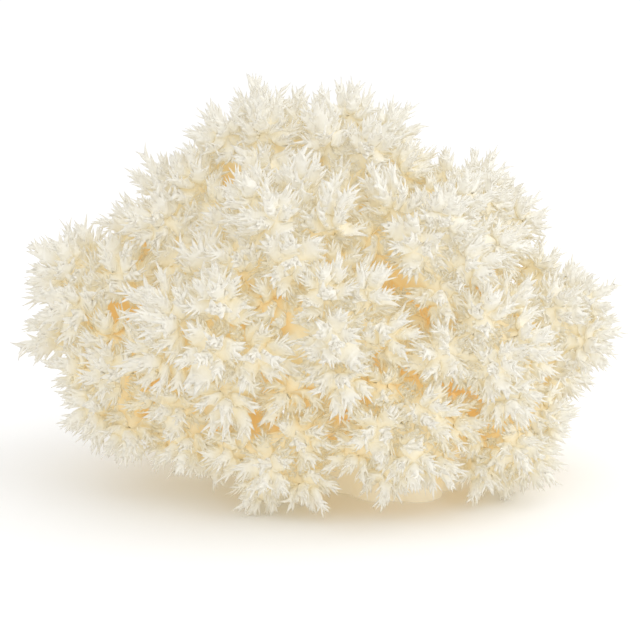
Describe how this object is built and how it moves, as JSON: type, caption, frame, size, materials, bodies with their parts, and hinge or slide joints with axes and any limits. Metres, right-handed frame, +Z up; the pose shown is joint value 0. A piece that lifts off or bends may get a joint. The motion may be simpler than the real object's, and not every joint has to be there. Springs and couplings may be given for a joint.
{
  "type": "coral tooth fungus cluster",
  "caption": "Cream coral tooth fungus: a flat-cut fleshy base whose branching limbs end in knobs covered with fronds of fleshy, spined fingers.",
  "frame": {"origin": "centre of the flat cut at the bottom of the base", "axes": "+Z up, away from the cut; +X to the right as the picture shows it, along the longest extent; the side in the picture faces -Y"},
  "size_m": [0.1823, 0.1335, 0.1212],
  "materials": {
    "base_flesh": "smooth moist fungus flesh, pale cream, slightly translucent",
    "frond_flesh": "matte translucent fungus flesh, cream-white at the tips and warm tan in the hollows"
  },
  "bodies": {
    "root": {"base": "base_flesh", "limb_left": "frond_flesh", "limb_left_low": "frond_flesh", "limb_left_shoulder": "frond_flesh", "limb_crown": "frond_flesh", "limb_right_upper": "frond_flesh", "limb_right": "frond_flesh", "limb_right_low": "frond_flesh", "limb_front_left": "frond_flesh", "limb_front_left_low": "frond_flesh", "limb_front_upper": "frond_flesh", "limb_front_centre": "frond_flesh", "limb_front_low": "frond_flesh", "limb_front_base": "frond_flesh", "limb_front_right": "frond_flesh", "limb_back_left": "frond_flesh", "limb_back_left_low": "frond_flesh", "limb_back_upper": "frond_flesh", "limb_back_low": "frond_flesh", "limb_back_right": "frond_flesh"}
  },
  "joints": []
}
